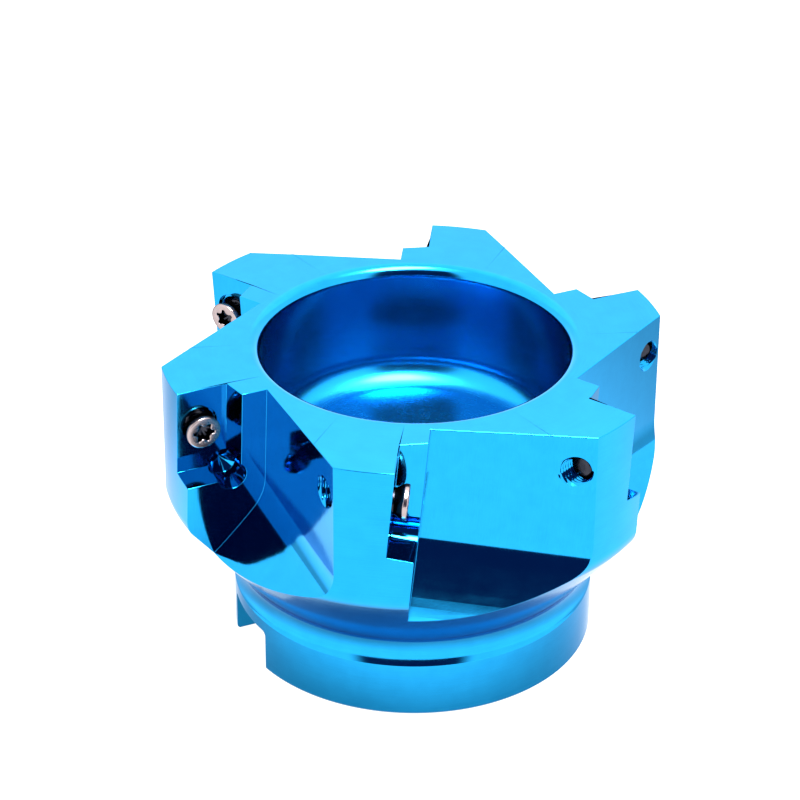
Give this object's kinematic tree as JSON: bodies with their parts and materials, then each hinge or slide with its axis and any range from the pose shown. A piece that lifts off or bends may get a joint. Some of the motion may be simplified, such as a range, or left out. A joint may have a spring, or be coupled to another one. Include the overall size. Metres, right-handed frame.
{
  "type": "face mill",
  "caption": "Face mill body with milled teeth, empty insert seats and part-driven insert screws, a front recess, and an arbor bore with drive slots across the back.",
  "frame": {"origin": "centre of the arbor face, on the axis of rotation", "axes": "+Z along the axis of rotation towards the cutting end; +X along the drive slots"},
  "size_m": [0.0784, 0.075, 0.05],
  "materials": {
    "body": "bright blue, mirror-like coating over machined steel",
    "screw": "bright steel, faintly pink"
  },
  "bodies": {
    "cutter": {"cutter_body": "body"},
    "screw_1": {"insert_screw_1": "screw"},
    "screw_2": {"insert_screw_2": "screw"},
    "screw_3": {"insert_screw_3": "screw"},
    "screw_4": {"insert_screw_4": "screw"},
    "screw_5": {"insert_screw_5": "screw"},
    "screw_6": {"insert_screw_6": "screw"}
  },
  "joints": [
    {"name": "screw_travel_1", "type": "slide", "parent": "cutter", "child": "screw_1", "axis": [-0.0261, 0.996, -0.0854], "range_m": [-0.0021, 0.0056]},
    {"name": "screw_travel_2", "type": "slide", "parent": "cutter", "child": "screw_2", "axis": [-0.8756, 0.4754, -0.0854], "range_m": [-0.0022, 0.0055]},
    {"name": "screw_travel_3", "type": "slide", "parent": "cutter", "child": "screw_3", "axis": [-0.8495, -0.5206, -0.0854], "range_m": [-0.0021, 0.0056]},
    {"name": "screw_travel_4", "type": "slide", "parent": "cutter", "child": "screw_4", "axis": [0.0261, -0.996, -0.0854], "range_m": [-0.0019, 0.0058]},
    {"name": "screw_travel_5", "type": "slide", "parent": "cutter", "child": "screw_5", "axis": [0.8756, -0.4754, -0.0854], "range_m": [-0.00225, 0.00545]},
    {"name": "screw_travel_6", "type": "slide", "parent": "cutter", "child": "screw_6", "axis": [0.8495, 0.5206, -0.0854], "range_m": [-0.0019, 0.0058]}
  ]
}
